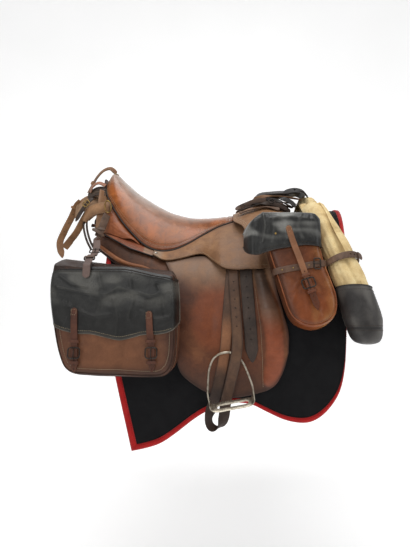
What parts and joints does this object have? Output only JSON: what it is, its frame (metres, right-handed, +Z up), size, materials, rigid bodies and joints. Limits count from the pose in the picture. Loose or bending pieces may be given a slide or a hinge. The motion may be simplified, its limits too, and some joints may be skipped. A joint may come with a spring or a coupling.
{
  "type": "military saddle",
  "caption": "Packed officer's riding saddle with saddlecloth, rear saddlebags, front wallets, rolled cape, girth straps and stirrups.",
  "frame": {"origin": "on the horse's spine, straight under the lowest point of the seat", "axes": "+X to the horse's front, +Y to its left, +Z up"},
  "size_m": [0.9635, 0.8114, 0.8277],
  "materials": {
    "cloth": "black heavy wool cloth",
    "binding": "red wool tape",
    "panel_leather": "dark brown panel leather over stuffing",
    "wood": "plain beech",
    "tree_steel": "dark forged steel",
    "seat_leather": "worn orange-brown leather with a grey sheen",
    "webbing": "plain linen webbing",
    "skirt_leather": "tan-brown leather",
    "flap_leather": "dark red-brown leather",
    "strap_leather": "dark grey-brown strap leather",
    "worn_steel": "pale worn steel",
    "dark_iron": "dark iron",
    "bag_leather": "red-brown bag leather",
    "black_leather": "near-black wrinkled leather",
    "tan_leather": "light tan leather",
    "canvas": "beige canvas",
    "brass": "tarnished brass"
  },
  "bodies": {
    "saddle": {"saddlecloth": "cloth", "cloth_binding": "binding", "panel_r": "panel_leather", "panel_l": "panel_leather", "tree_bar_r": "wood", "tree_bar_l": "wood", "pommel_arch": "tree_steel", "cantle_arch": "wood", "seat_cover": "seat_leather", "seat_webbing": "webbing", "cantle_facing": "skirt_leather", "rear_cover_r": "skirt_leather", "rear_cover_l": "skirt_leather", "flap_r": "flap_leather", "flap_l": "flap_leather", "skirt_r": "skirt_leather", "skirt_l": "skirt_leather", "stirrup_bar_r": "tree_steel", "stirrup_bar_l": "tree_steel", "wallet_r": "bag_leather", "wallet_l": "bag_leather", "wallet_bridge": "tan_leather", "cape_roll": "canvas", "roll_cap_r": "black_leather", "roll_cap_l": "black_leather", "roll_strap_r": "strap_leather", "roll_strap_l": "strap_leather", "pommel_cover": "black_leather", "cantle_strap": "tan_leather", "cantle_fan": "tan_leather", "crupper_strap": "tan_leather", "keeper_strap": "tan_leather", "cantle_dee_r": "brass", "cantle_dee_l": "brass", "bag_hanger_r": "strap_leather", "bag_hanger_l": "strap_leather"},
    "stirrup_leather_right": {"stirrup_leather_r": "strap_leather"},
    "stirrup_iron_right": {"stirrup_iron_r": "worn_steel"},
    "girth_strap_right": {"girth_strap_r": "strap_leather"},
    "rear_bag_right": {"rear_bag_r": "bag_leather", "hanging_strap_r": "strap_leather"},
    "rear_bag_lid_right": {"rear_bag_lid_r": "black_leather", "bag_strap_rear_r": "bag_leather", "bag_strap_front_r": "bag_leather", "bag_buckle_rear_r": "dark_iron", "bag_buckle_front_r": "dark_iron"},
    "wallet_lid_right": {"wallet_lid_r": "black_leather", "wallet_strap_r": "tan_leather"},
    "stirrup_leather_left": {"stirrup_leather_l": "strap_leather"},
    "stirrup_iron_left": {"stirrup_iron_l": "worn_steel"},
    "girth_strap_left": {"girth_strap_l": "strap_leather"},
    "rear_bag_left": {"rear_bag_l": "bag_leather", "hanging_strap_l": "strap_leather"},
    "rear_bag_lid_left": {"rear_bag_lid_l": "black_leather", "bag_strap_rear_l": "bag_leather", "bag_strap_front_l": "bag_leather", "bag_buckle_rear_l": "dark_iron", "bag_buckle_front_l": "dark_iron"},
    "wallet_lid_left": {"wallet_lid_l": "black_leather", "wallet_strap_l": "tan_leather"}
  },
  "joints": [
    {"name": "stirrup_leather_swing_right", "type": "hinge", "parent": "saddle", "child": "stirrup_leather_right", "pos_m": [0.1045, -0.14286, 0.01], "axis": [0, 1, 0], "range_deg": [-1, 9]},
    {"name": "stirrup_iron_swing_right", "type": "hinge", "parent": "stirrup_leather_right", "child": "stirrup_iron_right", "pos_m": [0.09, -0.30819, -0.272], "axis": [-1, 0, 0], "range_deg": [0, 8]},
    {"name": "girth_strap_lift_right", "type": "hinge", "parent": "saddle", "child": "girth_strap_right", "pos_m": [0.15, -0.22547, -0.05], "axis": [-1, 0, 0], "range_deg": [0, 45]},
    {"name": "rear_bag_swing_right", "type": "hinge", "parent": "saddle", "child": "rear_bag_right", "pos_m": [-0.29, -0.184, 0.036], "axis": [-1, 0, 0], "range_deg": [0, 45]},
    {"name": "rear_bag_lid_right", "type": "hinge", "parent": "rear_bag_right", "child": "rear_bag_lid_right", "pos_m": [-0.19, -0.36007, -0.03906], "axis": [-1, 0, 0], "range_deg": [0, 100]},
    {"name": "wallet_lid_right", "type": "hinge", "parent": "saddle", "child": "wallet_lid_right", "pos_m": [0.25, -0.21483, 0.09883], "axis": [-1, 0, 0], "range_deg": [0, 60]},
    {"name": "stirrup_leather_swing_left", "type": "hinge", "parent": "saddle", "child": "stirrup_leather_left", "pos_m": [0.1045, 0.14286, 0.01], "axis": [0, 1, 0], "range_deg": [-1, 9]},
    {"name": "stirrup_iron_swing_left", "type": "hinge", "parent": "stirrup_leather_left", "child": "stirrup_iron_left", "pos_m": [0.09, 0.30819, -0.272], "axis": [1, 0, 0], "range_deg": [0, 8]},
    {"name": "girth_strap_lift_left", "type": "hinge", "parent": "saddle", "child": "girth_strap_left", "pos_m": [0.15, 0.22547, -0.05], "axis": [1, 0, 0], "range_deg": [0, 45]},
    {"name": "rear_bag_swing_left", "type": "hinge", "parent": "saddle", "child": "rear_bag_left", "pos_m": [-0.29, 0.184, 0.036], "axis": [1, 0, 0], "range_deg": [0, 45]},
    {"name": "rear_bag_lid_left", "type": "hinge", "parent": "rear_bag_left", "child": "rear_bag_lid_left", "pos_m": [-0.19, 0.36007, -0.03906], "axis": [1, 0, 0], "range_deg": [0, 100]},
    {"name": "wallet_lid_left", "type": "hinge", "parent": "saddle", "child": "wallet_lid_left", "pos_m": [0.25, 0.21483, 0.09883], "axis": [1, 0, 0], "range_deg": [0, 60]}
  ]
}
